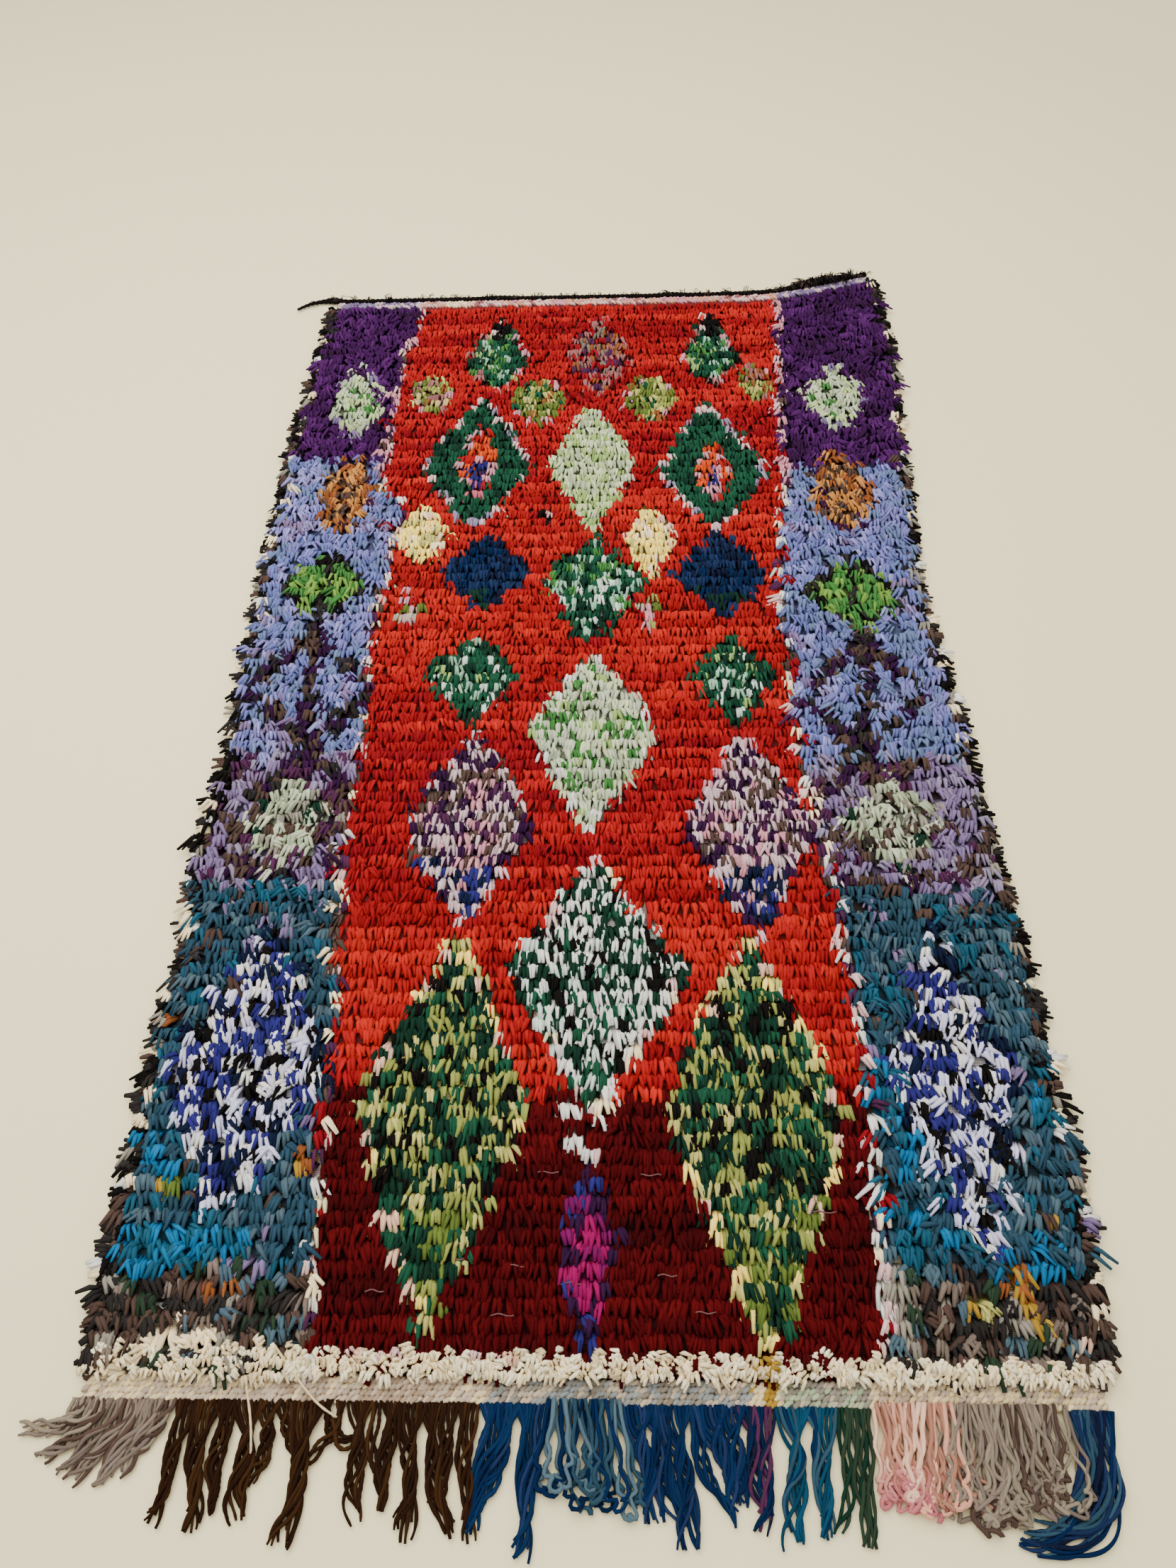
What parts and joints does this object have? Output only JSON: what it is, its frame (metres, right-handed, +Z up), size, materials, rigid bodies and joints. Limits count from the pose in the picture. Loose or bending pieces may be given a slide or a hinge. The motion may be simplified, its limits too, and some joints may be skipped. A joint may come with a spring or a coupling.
{
  "type": "boucherouite rug",
  "caption": "Long flat knotted rag rug with a lumpy pile of patterned borders and field, a dark cord on one end and a fringe of coloured yarns on the other.",
  "frame": {"origin": "centre of the rug's bounding box on the floor, with the fringe and the cord included", "axes": "+X to the right and +Y towards the corded end as one stands at the fringed end, +Z up out of the pile"},
  "size_m": [1.3031, 2.4267, 0.0234],
  "materials": {
    "rag_pile": "matte knotted rag pile",
    "black_cord": "matte twisted cotton",
    "taupe_yarn": "matte wool",
    "brown_yarn": "matte wool",
    "ink_blue_yarn": "matte wool",
    "steel_blue_yarn": "matte wool",
    "navy_yarn": "matte wool",
    "plum_yarn": "matte wool",
    "teal_yarn": "matte wool",
    "green_yarn": "matte wool",
    "rose_yarn": "matte wool",
    "stone_yarn": "matte wool",
    "midnight_yarn": "matte wool"
  },
  "bodies": {
    "root": {"rug": "rag_pile", "end_cord": "black_cord", "fringe_taupe": "taupe_yarn", "fringe_brown": "brown_yarn", "fringe_ink": "ink_blue_yarn", "fringe_steel": "steel_blue_yarn", "fringe_navy": "navy_yarn", "fringe_plum": "plum_yarn", "fringe_teal": "teal_yarn", "fringe_green": "green_yarn", "fringe_rose": "rose_yarn", "fringe_stone": "stone_yarn", "fringe_midnight": "midnight_yarn"}
  },
  "joints": []
}
